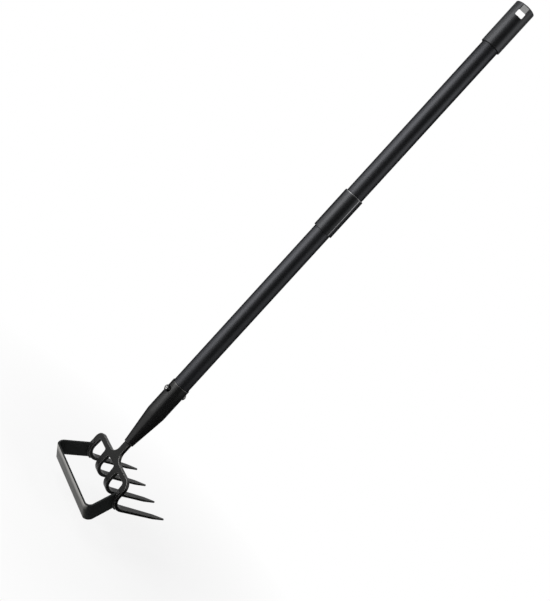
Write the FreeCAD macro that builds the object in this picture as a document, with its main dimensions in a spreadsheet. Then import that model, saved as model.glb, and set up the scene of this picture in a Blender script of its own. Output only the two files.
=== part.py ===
# Long-handled garden tool: a stirrup hoe blade and a four-tine cultivator on a two-section screwed handle.
# The origin is the centre of the hanging eye, on the handle's axis. Z runs up the handle, X is the way the
# tines point and Y runs across the head.

import FreeCAD, Part
import Sketcher
import os
import re

doc = FreeCAD.newDocument("garden_hoe")

# Driving dimensions in millimetres and degrees, by the piece that they belong to
sizes = {
    "handle tubes": {
        "tubeOuter": 25.0,
        "tubeWall": 1.0,
        "upperTubeLength": 318.0,
        "lowerTubeLength": 360.0,
    },
    "end cap with the hanging eye": {
        "capOuter": 28.6,
        "capLength": 64.5,
        "capTop": 9.8,
        "capDome": 0.6,
        "capEndWall": 1.8,
        "capCavity": 21.8,
        "capSeatDrop": 12.0,
        "capEdgeRound": 1.0,
        "capRimRound": 0.6,
        "eyeWidth": 11.0,
        "eyeHeight": 15.6,
        "eyeWall": 2.4,
        "eyeCorner": 1.5,
        "eyeTurn": 41.6,
    },
    "threaded plug and washer": {
        "plugGrip": 34.0,
        "plugFlange": 2.5,
        "plugBore": 11.0,
        "threadOuter": 19.0,
        "threadRoot": 16.0,
        "threadPitch": 4.0,
        "threadTurns": 6.0,
        "threadCrest": 1.0,
        "threadBase": 2.6,
        "threadRunOut": 0.8,
        "washerThickness": 1.5,
        "washerBore": 20.2,
    },
    "coupling sleeve": {
        "couplingOuter": 28.7,
        "couplingWeb": 4.0,
        "guideDepth": 26.0,
        "pocketDepth": 31.4,
        "noseLength": 30.0,
        "couplingEdgeRound": 0.8,
    },
    "ferrule": {
        "ferruleWall": 1.1,
        "ferruleSocket": 52.0,
        "ferruleCone": 53.0,
        "ferruleTip": 14.6,
        "ferruleTipBore": 11.8,
        "ferruleBlend": 60.0,
        "tubeStopGap": 2.0,
    },
    "cross bolt and nut": {
        "boltShank": 5.0,
        "boltHead": 9.0,
        "boltHeadHeight": 4.0,
        "boltHeadRound": 1.2,
        "boltBelowRim": 12.6,
        "boltPoke": 1.6,
        "driveLength": 4.6,
        "driveWidth": 1.2,
        "driveDepth": 2.0,
        "nutFlats": 8.0,
        "nutThickness": 4.0,
    },
    "cultivator fork": {
        "plateThickness": 5.2,
        "neckWidth": 12.3,
        "neckLength": 34.6,
        "neckRound": 12.0,
        "tangWidth": 10.0,
        "tangLength": 15.0,
        "shoulderTop": 6.9,
        "shoulderRound": 13.0,
        "crotchDrop": 1.3,
        "crotchRound": 3.0,
        "edgeBreak": 0.6,
        "tineSpacing": 35.9,
        "tineRootWidth": 12.5,
        "tineWidth": 10.0,
        "tineDrop": 16.4,
        "tineBend": 16.5,
        "tineRise": 7.8,
        "tineRun": 76.0,
        "tinePointRun": 19.0,
        "tineEndWidth": 7.3,
        "tineEndThickness": 3.8,
        "tineTip": 1.2,
    },
    "stirrup blade": {
        "stripThickness": 3.0,
        "stripWidth": 23.9,
        "stripTilt": 36.5,
        "stripNearRise": 14.1,
        "bladeLength": 144.4,
        "bladeReach": 62.0,
        "bladeOuterRound": 9.0,
        "bladeInnerRound": 6.0,
        "bevelWidth": 8.5,
        "bevelFarWidth": 2.0,
        "bladeEdge": 2.5,
    },
    "weld beads": {
        "beadRadius": 2.5,
        "beadOverhang": 1.2,
        "neckBeadLength": 3.0,
        "neckBeadTop": 14.0,
        "neckBeadFoot": 12.0,
    },
    "fits": {
        "fixedGap": 0.1,
        "runningGap": 0.3,
        "threadGap": 0.25,
        "holeGap": 0.15,
        "overrun": 2.0,
    },
}

# Sizes and places that follow from the ones above
follows = {
    "tubeBore": "tubeOuter - 2 * tubeWall",
    "capBore": "tubeOuter + 2 * fixedGap",
    "capBottom": "capTop - capLength",
    "plugSeat": "-(capSeatDrop + upperTubeLength + plugFlange)",
    "couplingSeat": "plugSeat - washerThickness",
    "lowerTubeTop": "couplingSeat - couplingWeb",
    "lowerTubeEnd": "lowerTubeTop - lowerTubeLength",
    "coneStart": "lowerTubeEnd - tubeStopGap",
    "boltPlace": "coneStart + ferruleSocket - boltBelowRim",
    "ferruleEnd": "coneStart - ferruleCone",
    "shoulderPlace": "ferruleEnd - neckLength",
    "bendPlace": "shoulderPlace - tineDrop",
    "threadReach": "threadPitch * threadTurns + threadRunOut",
    "ferruleBore": "tubeOuter + 2 * fixedGap",
    "ferruleOuter": "ferruleBore + 2 * ferruleWall",
    "outerTine": "1.5 * tineSpacing",
    "bendOuter": "tineBend + plateThickness / 2",
    "armFlare": "(bladeLength / 2 - outerTine - stripThickness / 2) / (bladeReach - bendOuter)",
    "armAcross": "stripThickness * sqrt(1 + armFlare * armFlare)",
    "bevelCut": "stripThickness - bladeEdge",
}

sheet = doc.addObject("Spreadsheet::Sheet", "dims")
rows = [(group, alias, str(sizes[group][alias])) for group in sizes for alias in sizes[group]]
rows += [("worked out", alias, "=" + follows[alias]) for alias in follows]
for number, (group, alias, content) in enumerate(rows, start=1):
    sheet.set("A%d" % number, group)
    sheet.set("B%d" % number, content)
    sheet.setAlias("B%d" % number, alias)
doc.recompute()

subParts = []


def bound(text):
    # The same expression with each alias read from the sheet; rad and the functions stay as they are
    return re.sub(r"\b(?!rad\b)([A-Za-z]\w*)\b(?!\()", r"dims.\1", text)


def value(text):
    # What an expression of aliases comes to now
    return float(sheet.evalExpression(text))


def place(thing, along=None, up=None):
    # Along X and up the handle, both following the sheet
    if along:
        thing.setExpression("Placement.Base.x", bound(along))
    if up:
        thing.setExpression("Placement.Base.z", bound(up))


def turn(thing, axis, text):
    thing.Placement = FreeCAD.Placement(thing.Placement.Base, FreeCAD.Rotation(axis, value(text)))
    thing.setExpression("Placement.Rotation.Angle", "(%s) * 1 deg" % bound(text))


def newBody(label, along=None, up=None):
    body = doc.addObject("PartDesign::Body", label)
    body.Label = label
    place(body, along, up)
    subParts.append(body)
    return body


def datum(body, role):
    return [feature for feature in body.Origin.OriginFeatures if feature.Role == role][0]


def newSketch(body, name, plane):
    sketch = body.newObject("Sketcher::SketchObject", name)
    sketch.AttachmentSupport = [(datum(body, plane), "")]
    sketch.MapMode = "FlatFace"
    return sketch


def tie(sketch, kind, items, text):
    # One driving constraint, bound to an expression
    index = sketch.addConstraint(Sketcher.Constraint(kind, *items, value(text)))
    sketch.setExpression("Constraints[%d]" % index, bound(text))


def tiePoint(sketch, piece, end, across, up):
    # A point of the sketch at two distances from the sketch's origin
    for text, kind, axis in ((across, "DistanceX", -2), (up, "DistanceY", -1)):
        if text == "0":
            sketch.addConstraint(Sketcher.Constraint("PointOnObject", piece, end, axis))
        else:
            tie(sketch, kind, (-1, 1, piece, end), text)


def outline(body, name, plane, points):
    # A closed outline whose corners are pairs of expressions
    sketch = newSketch(body, name, plane)
    corners = [FreeCAD.Vector(value(across), value(up), 0) for across, up in points]
    for index, corner in enumerate(corners):
        sketch.addGeometry(Part.LineSegment(corner, corners[(index + 1) % len(corners)]), False)
    for index in range(len(corners)):
        after = (index + 1) % len(corners)
        sketch.addConstraint(Sketcher.Constraint("Coincident", index, 2, after, 1))
    for index, (across, up) in enumerate(points):
        tiePoint(sketch, index, 1, across, up)
    return sketch


def circles(body, name, plane, diameters, across="0", up="0"):
    # Circles about one point
    sketch = newSketch(body, name, plane)
    middle = FreeCAD.Vector(value(across), value(up), 0)
    for index, text in enumerate(diameters):
        sketch.addGeometry(Part.Circle(middle, FreeCAD.Vector(0, 0, 1), value(text) / 2), False)
        tiePoint(sketch, index, 3, across, up)
        tie(sketch, "Diameter", (index,), text)
    return sketch


def rectangle(body, name, plane, left, right, bottom, top):
    return outline(body, name, plane, [(left, bottom), (right, bottom), (right, top), (left, top)])


def extrude(body, sketch, length, kind="Pad", symmetric=False, reverse=False):
    # A pad, or a pocket, which has to take some of the body away
    before = body.Shape.Volume if kind == "Pocket" else 0.0
    feature = body.newObject("PartDesign::" + kind, sketch.Name + "_" + kind.lower())
    feature.Profile = sketch
    feature.SideType = "Symmetric" if symmetric else "One side"
    feature.Reversed = reverse
    feature.setExpression("Length", bound(length))
    doc.recompute()
    if kind == "Pocket" and body.Shape.Volume >= before:
        raise RuntimeError(sketch.Name + " cuts nothing")
    return feature


def revolve(body, sketch, axis="V_Axis"):
    feature = body.newObject("PartDesign::Revolution", sketch.Name + "_turned")
    feature.Profile = sketch
    feature.ReferenceAxis = (sketch, [axis])
    doc.recompute()
    return feature


def helix(body, sketch, kind, pitch, height):
    # A right-handed thread ridge, or groove, along the sketch's vertical axis
    feature = body.newObject("PartDesign::" + kind, sketch.Name + "_helix")
    feature.Profile = sketch
    feature.ReferenceAxis = (sketch, ["V_Axis"])
    feature.Mode = "pitch-height-angle"
    feature.setExpression("Pitch", bound(pitch))
    feature.setExpression("Height", bound(height))
    doc.recompute()
    return feature


def dressEdges(body, kind, size, wanted):
    # Rounds or chamfers the edges that a test picks
    base = body.Tip
    names = ["Edge%d" % (index + 1) for index, edge in enumerate(base.Shape.Edges) if wanted(edge)]
    if not names:
        raise RuntimeError(body.Label + " has no edge to dress")
    feature = body.newObject("PartDesign::" + kind, body.Label + "_" + kind.lower())
    feature.Base = (base, names)
    feature.setExpression("Radius" if kind == "Fillet" else "Size", bound(size))
    doc.recompute()
    return feature


def ringAt(up, diameter):
    # Picks round edges about the Z axis at a height and of a diameter
    def wanted(edge):
        box = edge.BoundBox
        flat = abs(box.ZMin - value(up)) < near and abs(box.ZMax - value(up)) < near
        return flat and abs(box.XLength - value(diameter)) < near
    return wanted


def alongAxis(axis, corners):
    # Picks straight edges along an axis through points given by the other two coordinates
    others = [name for name in "xyz" if name != axis]

    def wanted(edge):
        first, last = edge.Vertexes[0].Point, edge.Vertexes[-1].Point
        if any(abs(getattr(first, name) - getattr(last, name)) > near for name in others):
            return False
        place = [getattr(first, name) for name in others]
        return any(
            abs(place[0] - value(one)) < near and abs(place[1] - value(two)) < near for one, two in corners
        )
    return wanted


# How far off an edge may lie and still be the one that is meant
near = value("overrun") / 100


def makeEndCap():
    # A moulded cap over the tube's end, with a rectangular tunnel through it as the hanging eye
    body = newBody("end_cap")
    shell = outline(body, "cap_shell", "XZ_Plane", [
        ("0", "capTop"),
        ("capOuter / 2", "capTop - capDome"),
        ("capOuter / 2", "capBottom"),
        ("capBore / 2", "capBottom"),
        ("capBore / 2", "-capSeatDrop"),
        ("capCavity / 2", "-capSeatDrop"),
        ("capCavity / 2", "capTop - capEndWall"),
        ("0", "capTop - capEndWall"),
    ])
    revolve(body, shell)
    tunnel = rectangle(
        body, "eye_tunnel", "XZ_Plane",
        "-(eyeWidth / 2 + eyeWall)", "eyeWidth / 2 + eyeWall",
        "-(eyeHeight / 2 + eyeWall)", "capTop - capEndWall / 2",
    )
    extrude(body, tunnel, "capCavity + eyeWall / 2", symmetric=True)
    window = rectangle(
        body, "eye_window", "XZ_Plane", "-eyeWidth / 2", "eyeWidth / 2", "-eyeHeight / 2", "eyeHeight / 2"
    )
    extrude(body, window, "2 * capOuter", "Pocket", symmetric=True)
    corners = [(side + "eyeWidth / 2", end + "eyeHeight / 2") for side in ("", "-") for end in ("", "-")]
    dressEdges(body, "Fillet", "eyeCorner", alongAxis("y", corners))
    dressEdges(body, "Fillet", "capEdgeRound", ringAt("capTop - capDome", "capOuter"))
    dressEdges(body, "Fillet", "capRimRound", ringAt("capBottom", "capOuter"))
    turn(body, FreeCAD.Vector(0, 0, 1), "-eyeTurn")


def makeUpperTube():
    body = newBody("upper_tube", up="-capSeatDrop - upperTubeLength")
    extrude(body, circles(body, "upper_wall", "XY_Plane", ["tubeOuter", "tubeBore"]), "upperTubeLength")


def makeThreadedPlug():
    # Pressed in the upper tube, with its flange under the tube's end and a hollow male thread below
    body = newBody("threaded_plug", up="plugSeat")
    core = outline(body, "plug_core", "XZ_Plane", [
        ("plugBore / 2", "plugFlange + plugGrip"),
        ("tubeBore / 2 - fixedGap", "plugFlange + plugGrip"),
        ("tubeBore / 2 - fixedGap", "plugFlange"),
        ("tubeOuter / 2", "plugFlange"),
        ("tubeOuter / 2", "0"),
        ("threadRoot / 2", "0"),
        ("threadRoot / 2", "-(washerThickness + threadReach)"),
        ("plugBore / 2", "-(washerThickness + threadReach)"),
    ])
    revolve(body, core)
    middle = "-(washerThickness + threadReach) + threadRunOut / 2 + threadBase / 2"
    ridge = outline(body, "plug_ridge", "XZ_Plane", [
        ("threadRoot / 2 - fixedGap", middle + " - threadBase / 2"),
        ("threadRoot / 2", middle + " - threadBase / 2"),
        ("threadOuter / 2", middle + " - threadCrest / 2"),
        ("threadOuter / 2", middle + " + threadCrest / 2"),
        ("threadRoot / 2", middle + " + threadBase / 2"),
        ("threadRoot / 2 - fixedGap", middle + " + threadBase / 2"),
    ])
    helix(body, ridge, "AdditiveHelix", "threadPitch", "threadPitch * threadTurns - threadBase")


def makeJointWasher():
    body = newBody("joint_washer", up="couplingSeat")
    ring = circles(body, "washer_ring", "XY_Plane", ["tubeOuter", "washerBore"])
    extrude(body, ring, "washerThickness")


def makeCoupling():
    # A sleeve on the lower tube's end: its threaded nose hangs in the tube and its rim guides the upper tube
    body = newBody("coupling", up="couplingSeat")
    guide = "tubeOuter / 2 + runningGap"
    slotOuter = "tubeOuter / 2 + fixedGap"
    slotInner = "tubeBore / 2 - fixedGap"
    bore = "threadRoot / 2 + threadGap"
    shell = outline(body, "coupling_shell", "XZ_Plane", [
        ("couplingOuter / 2", "guideDepth"),
        ("couplingOuter / 2", "-(couplingWeb + pocketDepth)"),
        (slotOuter, "-(couplingWeb + pocketDepth)"),
        (slotOuter, "-couplingWeb"),
        (slotInner, "-couplingWeb"),
        (slotInner, "-noseLength"),
        (bore, "-noseLength"),
        (bore, "0"),
        (guide, "0"),
        (guide, "guideDepth"),
    ])
    revolve(body, shell)
    # The groove keeps step with the plug's ridge and runs out past both ends of the bore
    middle = "-threadReach + threadRunOut / 2 + threadBase / 2 - 3 * threadPitch"
    groove = outline(body, "coupling_groove", "XZ_Plane", [
        ("threadRoot / 2", middle + " - threadBase / 2 - threadGap"),
        ("threadOuter / 2 + threadGap", middle + " - threadCrest / 2 - threadGap"),
        ("threadOuter / 2 + threadGap", middle + " + threadCrest / 2 + threadGap"),
        ("threadRoot / 2", middle + " + threadBase / 2 + threadGap"),
    ])
    before = body.Shape.Volume
    helix(body, groove, "SubtractiveHelix", "threadPitch", "threadPitch * (threadTurns + 4)")
    if body.Shape.Volume >= before:
        raise RuntimeError("the coupling's thread cuts nothing")
    for up in ("guideDepth", "-(couplingWeb + pocketDepth)"):
        dressEdges(body, "Fillet", "couplingEdgeRound", ringAt(up, "couplingOuter"))


def makeLowerTube():
    body = newBody("lower_tube", up="lowerTubeEnd")
    extrude(body, circles(body, "lower_wall", "XY_Plane", ["tubeOuter", "tubeBore"]), "lowerTubeLength")
    clear = ["boltShank + 2 * holeGap"]
    hole = circles(body, "tube_bolt_hole", "YZ_Plane", clear, up="boltPlace - lowerTubeEnd")
    extrude(body, hole, "2 * tubeOuter", "Pocket", symmetric=True)


def makeFerrule():
    # A drawn steel socket that narrows to the fork's tang
    body = newBody("ferrule", up="coneStart")
    wall = outline(body, "ferrule_wall", "XZ_Plane", [
        ("ferruleOuter / 2", "ferruleSocket"),
        ("ferruleOuter / 2", "0"),
        ("ferruleTip / 2", "-ferruleCone"),
        ("ferruleTipBore / 2", "-ferruleCone"),
        ("ferruleTipBore / 2", "-ferruleCone + tangLength + overrun"),
        ("ferruleBore / 2 - ferruleWall / 2", "0"),
        ("ferruleBore / 2", "0"),
        ("ferruleBore / 2", "ferruleSocket"),
    ])
    revolve(body, wall)
    dressEdges(body, "Fillet", "ferruleBlend", ringAt("0", "ferruleOuter"))
    clear = ["boltShank + 2 * holeGap"]
    hole = circles(body, "ferrule_bolt_hole", "YZ_Plane", clear, up="ferruleSocket - boltBelowRim")
    extrude(body, hole, "2 * ferruleOuter", "Pocket", symmetric=True)


def makeBolt():
    body = newBody("ferrule_bolt", up="boltPlace")
    headFace = "-(ferruleOuter / 2 + boltHeadHeight)"
    side = outline(body, "bolt_side", "XZ_Plane", [
        (headFace, "0"),
        (headFace, "boltHead / 2"),
        ("-ferruleOuter / 2", "boltHead / 2"),
        ("-ferruleOuter / 2", "boltShank / 2"),
        ("ferruleOuter / 2 + nutThickness + boltPoke", "boltShank / 2"),
        ("ferruleOuter / 2 + nutThickness + boltPoke", "0"),
    ])
    revolve(body, side, "H_Axis")

    def headRim(edge):
        box = edge.BoundBox
        return abs(box.XMin - value(headFace)) < near and abs(box.XMax - value(headFace)) < near

    dressEdges(body, "Fillet", "boltHeadRound", headRim)
    # The cross drive in the head, as two slots
    for name, wide, tall in (
        ("drive_upright", "driveWidth", "driveLength"),
        ("drive_level", "driveLength", "driveWidth"),
    ):
        slot = rectangle(
            body, name, "YZ_Plane", "-%s / 2" % wide, "%s / 2" % wide, "-%s / 2" % tall, "%s / 2" % tall
        )
        slot.setExpression("AttachmentOffset.Base.z", bound(headFace + " + driveDepth"))
        extrude(body, slot, "boltHeadHeight", "Pocket")


def makeNut():
    body = newBody("ferrule_nut", along="ferruleOuter / 2", up="boltPlace")
    reach = "nutFlats / sqrt(3)"
    hexagon = outline(body, "nut_hexagon", "YZ_Plane", [
        (reach, "0"),
        (reach + " / 2", "nutFlats / 2"),
        ("-" + reach + " / 2", "nutFlats / 2"),
        ("-" + reach, "0"),
        ("-" + reach + " / 2", "-nutFlats / 2"),
        (reach + " / 2", "-nutFlats / 2"),
    ])
    extrude(body, hexagon, "nutThickness")
    hole = circles(body, "nut_hole", "YZ_Plane", ["boltShank + fixedGap"])
    extrude(body, hole, "4 * nutThickness", "Pocket", symmetric=True)


def section(body, name, along, up, angle, points):
    # A sketch across a tine: its plane faces along the tine, which points at an angle above X
    sketch = outline(body, name, "YZ_Plane", points)
    sketch.AttachmentOffset = FreeCAD.Placement(
        FreeCAD.Vector(0, value(up), value(along)), FreeCAD.Rotation(FreeCAD.Vector(1, 0, 0), -value(angle))
    )
    sketch.setExpression("AttachmentOffset.Base.y", bound(up))
    sketch.setExpression("AttachmentOffset.Base.z", bound(along))
    sketch.setExpression("AttachmentOffset.Rotation.Angle", "-(%s) * 1 deg" % bound(angle))
    return sketch


def octagon(across, up, width, height):
    # A rectangle with broken corners about a point of the sketch
    corners = []
    for side, end, first in (("-", "-", 0), ("+", "-", 1), ("+", "+", 0), ("-", "+", 1)):
        wide = "%s %s (%s) / 2" % (across, side, width)
        high = "%s %s (%s) / 2" % (up, end, height)
        inSide = "-" if side == "+" else "+"
        inEnd = "-" if end == "+" else "+"
        pair = [(wide, high + " %s edgeBreak" % inEnd), (wide + " %s edgeBreak" % inSide, high)]
        corners += pair if first == 0 else pair[::-1]
    return corners


def makeFork():
    # A plate with a tang, a neck, a shoulder bar and four tines, which bend forward and run out to points
    body = newBody("cultivator_fork", up="shoulderPlace")
    outer = "(outerTine + tineRootWidth / 2)"
    points = [
        ("-" + outer, "shoulderTop"),
        ("-neckWidth / 2", "shoulderTop"),
        ("-neckWidth / 2", "neckLength"),
        ("-tangWidth / 2", "neckLength"),
        ("-tangWidth / 2", "neckLength + tangLength"),
        ("tangWidth / 2", "neckLength + tangLength"),
        ("tangWidth / 2", "neckLength"),
        ("neckWidth / 2", "neckLength"),
        ("neckWidth / 2", "shoulderTop"),
        (outer, "shoulderTop"),
    ]
    crotches = []
    for middle in ("1.5 * tineSpacing", "0.5 * tineSpacing", "-0.5 * tineSpacing", "-1.5 * tineSpacing"):
        right = (middle + " + tineRootWidth / 2", "-crotchDrop")
        left = (middle + " - tineRootWidth / 2", "-crotchDrop")
        foot = [(middle + " + tineWidth / 2", "-tineDrop"), (middle + " - tineWidth / 2", "-tineDrop")]
        if not middle.startswith("1.5"):
            points.append(right)
            crotches.append(right)
        points += foot
        if not middle.startswith("-1.5"):
            points.append(left)
            crotches.append(left)
    extrude(body, outline(body, "fork_plate", "YZ_Plane", points), "plateThickness", symmetric=True)
    dressEdges(body, "Fillet", "shoulderRound", alongAxis("x", [
        (outer, "shoulderTop"), ("-" + outer, "shoulderTop"),
    ]))
    dressEdges(body, "Fillet", "neckRound", alongAxis("x", [
        ("neckWidth / 2", "shoulderTop"), ("-neckWidth / 2", "shoulderTop"),
    ]))
    dressEdges(body, "Fillet", "crotchRound", alongAxis("x", crotches))

    def plateEdge(edge):
        # On either face of the plate, below the tang and above the tines' feet
        box = edge.BoundBox
        onFace = box.XLength < near and abs(abs(box.XMin) - value("plateThickness / 2")) < near
        betweenEnds = near - value("tineDrop") < box.ZMax < value("neckLength") + near
        acrossNeck = box.ZLength < near and abs(box.ZMax - value("neckLength")) < near
        return onFace and betweenEnds and not acrossNeck

    dressEdges(body, "Chamfer", "edgeBreak", plateEdge)

    # The first tine's bend turns a section about the bend's own axis
    first = "-outerTine"
    across = octagon(first, "-tineBend", "tineWidth", "plateThickness")
    start = section(body, "tine_bend", "tineBend", "-tineDrop", "-90", across)
    bend = body.newObject("PartDesign::Revolution", "tine_bend_turned")
    bend.Profile = start
    bend.ReferenceAxis = (start, ["H_Axis"])
    bend.setExpression("Angle", bound("90 + tineRise"))
    bend.Reversed = True
    doc.recompute()

    # Its run narrows slowly and then comes to a point
    def runSection(name, run, width, thickness):
        return section(
            body, name,
            "tineBend + tineBend * sin(tineRise) + (%s) * cos(tineRise)" % run,
            "-tineDrop - tineBend * cos(tineRise) + (%s) * sin(tineRise)" % run,
            "tineRise",
            octagon(first, "0", width, thickness),
        )

    thick = runSection("tine_root", "0", "tineWidth", "plateThickness")
    thin = runSection("tine_end", "tineRun - tinePointRun", "tineEndWidth", "tineEndThickness")
    tip = runSection("tine_tip", "tineRun", "tineTip + 2 * edgeBreak", "tineTip + 2 * edgeBreak")
    run = body.newObject("PartDesign::AdditiveLoft", "tine_run")
    run.Profile = thick
    run.Sections = [thin, tip]
    run.Ruled = True
    doc.recompute()

    row = body.newObject("PartDesign::LinearPattern", "tine_row")
    row.Originals = [bend, run]
    row.Direction = (datum(body, "Y_Axis"), [""])
    row.Mode = "Spacing"
    row.Occurrences = 4
    row.setExpression("Offset", bound("tineSpacing"))
    body.Tip = row
    doc.recompute()
    return body


def makeBlade():
    # One strip bent into a stirrup, in a frame on the axis of the outer tines' bend: X runs out to the
    # cutting face, Z from the strip's near edge to its far edge
    body = newBody("hoe_blade", along="tineBend", up="bendPlace")
    tail = "bendOuter / 2"
    armRoot = "(outerTine + armAcross / 2)"
    rootOut = armRoot + " + armFlare * (%s - bendOuter)" % tail
    cornerOut = armRoot + " + armFlare * (bladeReach - bendOuter)"
    cornerIn = armRoot + " + armFlare * (bladeReach - stripThickness - bendOuter) - armAcross"
    outside = [(tail, rootOut), ("bladeReach", cornerOut)]
    inside = [("bladeReach - stripThickness", cornerIn), (tail, rootOut + " - armAcross")]

    def mirrored(corners):
        return [(along, "-(%s)" % across) for along, across in corners[::-1]]

    loop = outline(body, "strip_loop", "XY_Plane", outside + mirrored(outside) + mirrored(inside) + inside)
    loop.setExpression("AttachmentOffset.Base.z", bound("-stripNearRise"))
    extrude(body, loop, "stripWidth")
    for size, corner in (("bladeOuterRound", outside[1]), ("bladeInnerRound", inside[0])):
        dressEdges(body, "Fillet", size, alongAxis("z", [corner] + mirrored([corner])))
    for name, edge, sign, width in (
        ("near_bevel", "-stripNearRise", "+", "bevelWidth"),
        ("far_bevel", "stripWidth - stripNearRise", "-", "bevelFarWidth"),
    ):
        out = "-" if sign == "+" else "+"
        wedge = outline(body, name, "XZ_Plane", [
            ("bladeReach - bevelCut", edge),
            ("bladeReach", "%s %s %s" % (edge, sign, width)),
            ("bladeReach + overrun", "%s %s %s" % (edge, sign, width)),
            ("bladeReach + overrun", "%s %s overrun" % (edge, out)),
            ("bladeReach - bevelCut", "%s %s overrun" % (edge, out)),
        ])
        extrude(body, wedge, "2 * bladeLength", "Pocket", symmetric=True)
    # The arms' ends are hollowed to sit on the bends, and cut flat where they pass the tines' straight part
    seat = circles(body, "arm_seat", "XZ_Plane", ["2 * (bendOuter + holeGap)"])
    extrude(body, seat, "2 * bladeLength", "Pocket", symmetric=True)
    away, down = "(bendOuter + holeGap) * cos(stripTilt)", "-(bendOuter + holeGap) * sin(stripTilt)"
    back, along = "(-stripWidth * sin(stripTilt))", "(-stripWidth * cos(stripTilt))"
    flat = outline(body, "arm_flat", "XZ_Plane", [
        ("0", "0"), (away, down), (away + " + " + back, down + " + " + along), (back, along),
    ])
    extrude(body, flat, "2 * bladeLength", "Pocket", symmetric=True)
    turn(body, FreeCAD.Vector(0, 1, 0), "180 - stripTilt")
    return body


def lessPieces(label, blank, others):
    # A weld is a blank less the pieces that it joins
    for number, other in enumerate(others):
        cut = doc.addObject("Part::Cut", label if number == len(others) - 1 else label + "_blank")
        cut.Base = blank
        cut.Tool = other
        blank = cut
    blank.Label = label
    subParts.append(blank)


def makeBladeWelds(fork, blade):
    # A round bead along both faces of each arm's end, in the blade's frame
    body = doc.addObject("PartDesign::Body", "arm_beads")
    place(body, along="tineBend", up="bendPlace")
    overhang = "beadOverhang / bendOuter * 1 rad"
    for name, face in (("outer_beads", "armAcross / 2"), ("inner_beads", "-armAcross / 2")):
        sketch = newSketch(body, name, "XY_Plane")
        for number, across in enumerate(("outerTine + " + face, "-(outerTine + %s)" % face)):
            middle = FreeCAD.Vector(value("bendOuter"), value(across), 0)
            sketch.addGeometry(Part.Circle(middle, FreeCAD.Vector(0, 0, 1), value("beadRadius")), False)
            tiePoint(sketch, number, 3, "bendOuter", across)
            tie(sketch, "Radius", (number,), "beadRadius")
        bead = revolve(body, sketch)
        bead.Type = "TwoAngles"
        bead.setExpression("Angle", bound("asin(stripNearRise / bendOuter) + " + overhang))
        bead.setExpression("Angle2", bound("asin((stripWidth - stripNearRise) / bendOuter) + " + overhang))
        doc.recompute()
    turn(body, FreeCAD.Vector(0, 1, 0), "180 - stripTilt")
    lessPieces("blade_welds", body, [blade, fork])


def makeNeckWeld(fork):
    # A fillet of weld between the ferrule's small end and the neck
    cone = doc.addObject("Part::Cone", "neck_bead")
    cone.setExpression("Radius1", bound("neckBeadFoot / 2"))
    cone.setExpression("Radius2", bound("neckBeadTop / 2"))
    cone.setExpression("Height", bound("neckBeadLength"))
    place(cone, up="ferruleEnd - neckBeadLength")
    lessPieces("neck_weld", cone, [fork])


def finish():
    doc.recompute()
    for thing in doc.Objects:
        if "Invalid" in thing.State or "Error" in thing.State:
            raise RuntimeError(thing.Label + " failed: " + ", ".join(thing.State))
    os.makedirs("parts", exist_ok=True)
    for thing in subParts:
        if thing.Shape.isNull() or not thing.Shape.isValid():
            raise RuntimeError(thing.Label + " has no sound shape")
        thing.Shape.exportStep("parts/%s.step" % thing.Label)
        print(thing.Label, len(thing.Shape.Solids), round(thing.Shape.Volume, 1))


makeEndCap()
makeUpperTube()
makeThreadedPlug()
makeJointWasher()
makeCoupling()
makeLowerTube()
makeFerrule()
makeBolt()
makeNut()
fork = makeFork()
blade = makeBlade()
makeBladeWelds(fork, blade)
makeNeckWeld(fork)
finish()
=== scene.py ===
# A two-in-one garden hoe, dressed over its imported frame: stirrup blade, four bent tines, screwed tube handle
import math
import bmesh
import bpy
from mathutils import Matrix, Vector


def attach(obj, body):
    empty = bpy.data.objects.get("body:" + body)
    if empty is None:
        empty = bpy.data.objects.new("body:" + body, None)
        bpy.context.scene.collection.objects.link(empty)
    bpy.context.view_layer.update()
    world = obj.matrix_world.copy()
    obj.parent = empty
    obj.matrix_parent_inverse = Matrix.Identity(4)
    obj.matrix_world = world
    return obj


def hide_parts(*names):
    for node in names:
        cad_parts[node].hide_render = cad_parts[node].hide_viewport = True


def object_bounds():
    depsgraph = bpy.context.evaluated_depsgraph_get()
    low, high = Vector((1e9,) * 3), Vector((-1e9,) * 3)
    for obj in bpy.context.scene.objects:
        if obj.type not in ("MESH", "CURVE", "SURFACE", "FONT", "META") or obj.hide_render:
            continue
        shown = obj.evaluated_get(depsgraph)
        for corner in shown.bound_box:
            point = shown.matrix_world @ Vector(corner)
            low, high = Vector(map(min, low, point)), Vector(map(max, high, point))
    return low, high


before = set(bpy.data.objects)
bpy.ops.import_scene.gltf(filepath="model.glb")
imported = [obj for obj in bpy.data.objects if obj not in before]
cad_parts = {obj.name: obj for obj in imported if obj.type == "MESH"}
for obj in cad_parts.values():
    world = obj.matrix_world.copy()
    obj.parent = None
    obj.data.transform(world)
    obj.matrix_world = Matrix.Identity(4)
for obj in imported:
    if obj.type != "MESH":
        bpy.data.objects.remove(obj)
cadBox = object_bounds()
print("frame loaded:", len(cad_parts), "nodes")

mm = 0.001


# Node helpers

def addNode(tree, kind, inputs=None, **settings):
    # Inputs take a value or another node's socket
    node = tree.nodes.new(kind)
    for name, setting in settings.items():
        setattr(node, name, setting)
    for key, given in (inputs or {}).items():
        if isinstance(given, bpy.types.NodeSocket):
            tree.links.new(given, node.inputs[key])
        else:
            node.inputs[key].default_value = given
    return node


def calc(tree, operation, first, second=0.0):
    return addNode(tree, "ShaderNodeMath", {0: first, 1: second}, operation=operation).outputs[0]


def spread(tree, amount, fromLow, fromHigh, toLow=0.0, toHigh=1.0):
    # A value carried from one span to another, held at its ends
    return addNode(tree, "ShaderNodeMapRange", {
        "Value": amount, "From Min": fromLow, "From Max": fromHigh, "To Min": toLow, "To Max": toHigh,
    }).outputs[0]


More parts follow.
